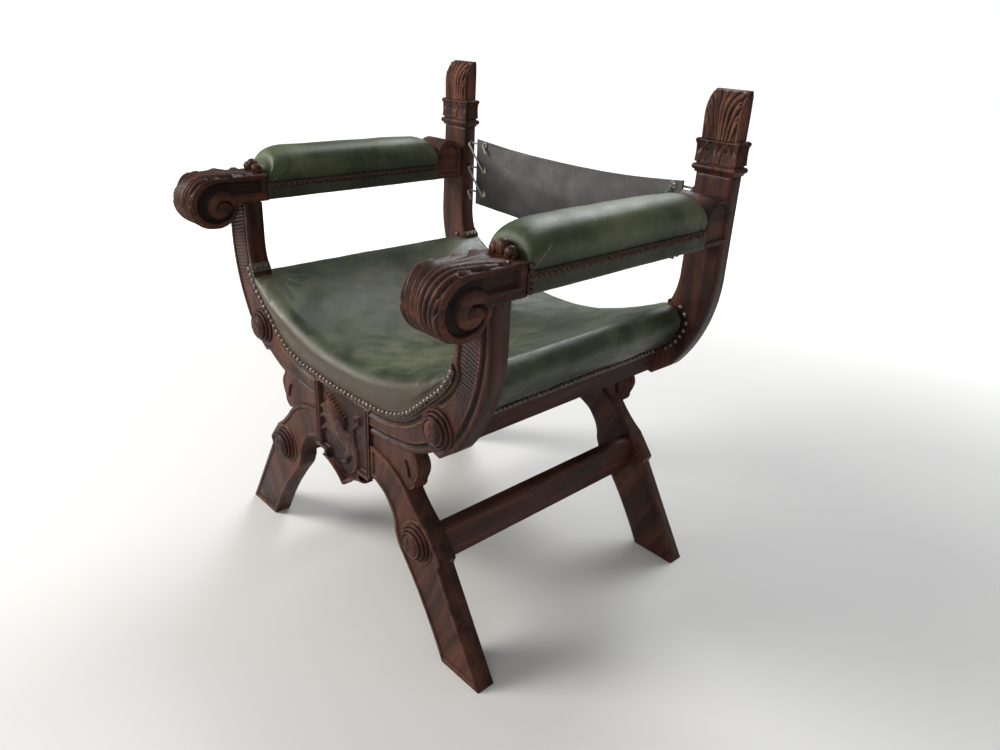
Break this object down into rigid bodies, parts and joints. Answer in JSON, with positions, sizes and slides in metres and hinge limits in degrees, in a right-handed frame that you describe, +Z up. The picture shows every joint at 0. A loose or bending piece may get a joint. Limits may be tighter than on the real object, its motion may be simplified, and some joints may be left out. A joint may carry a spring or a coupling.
{
  "type": "savonarola armchair",
  "caption": "Carved dark oak Savonarola armchair with green leather seat and arm pads and a laced leather back sling.",
  "frame": {"origin": "under the middle of the bounding box, on the floor", "axes": "+Z up, +Y towards the back of the chair, +X towards its right side seen from the front"},
  "size_m": [0.7444, 0.6362, 0.875],
  "materials": {
    "dark_oak": "satin",
    "green_leather": "satin",
    "sling_leather": "satin",
    "nail_brass": "satin",
    "eyelet_metal": "satin",
    "staple_iron": "satin",
    "lace_cord": "matte",
    "stuffing": "matte",
    "webbing": "matte"
  },
  "bodies": {
    "root": {"arm_bracket_left": "dark_oak", "arm_bracket_right": "dark_oak", "arm_bud_left": "dark_oak", "arm_bud_right": "dark_oak", "arm_nails": "nail_brass", "arm_pad_left": "green_leather", "arm_pad_right": "green_leather", "arm_rail_left": "dark_oak", "arm_rail_right": "dark_oak", "arm_scroll_left": "dark_oak", "arm_scroll_right": "dark_oak", "back_sling": "sling_leather", "cartouche": "dark_oak", "frame_dowels": "dark_oak", "front_centre_block": "dark_oak", "front_ear_left": "dark_oak", "front_ear_right": "dark_oak", "front_leg_left": "dark_oak", "front_leg_right": "dark_oak", "front_upright_left": "dark_oak", "front_upright_right": "dark_oak", "lacing_left": "lace_cord", "lacing_right": "lace_cord", "lower_roundel_left": "dark_oak", "lower_roundel_right": "dark_oak", "post_cap_left": "dark_oak", "post_cap_right": "dark_oak", "post_finial_left": "dark_oak", "post_finial_right": "dark_oak", "rear_centre_block": "dark_oak", "rear_ear_left": "dark_oak", "rear_ear_right": "dark_oak", "rear_leg_left": "dark_oak", "rear_leg_right": "dark_oak", "rear_post_left": "dark_oak", "rear_post_right": "dark_oak", "seat_leather": "green_leather", "seat_nails": "nail_brass", "seat_stuffing": "stuffing", "seat_webbing": "webbing", "side_rail_left": "dark_oak", "side_rail_right": "dark_oak", "sling_eyelets": "eyelet_metal", "sling_staples": "staple_iron", "stretcher_left": "dark_oak", "stretcher_right": "dark_oak", "upper_roundel_left": "dark_oak", "upper_roundel_right": "dark_oak"}
  },
  "joints": []
}
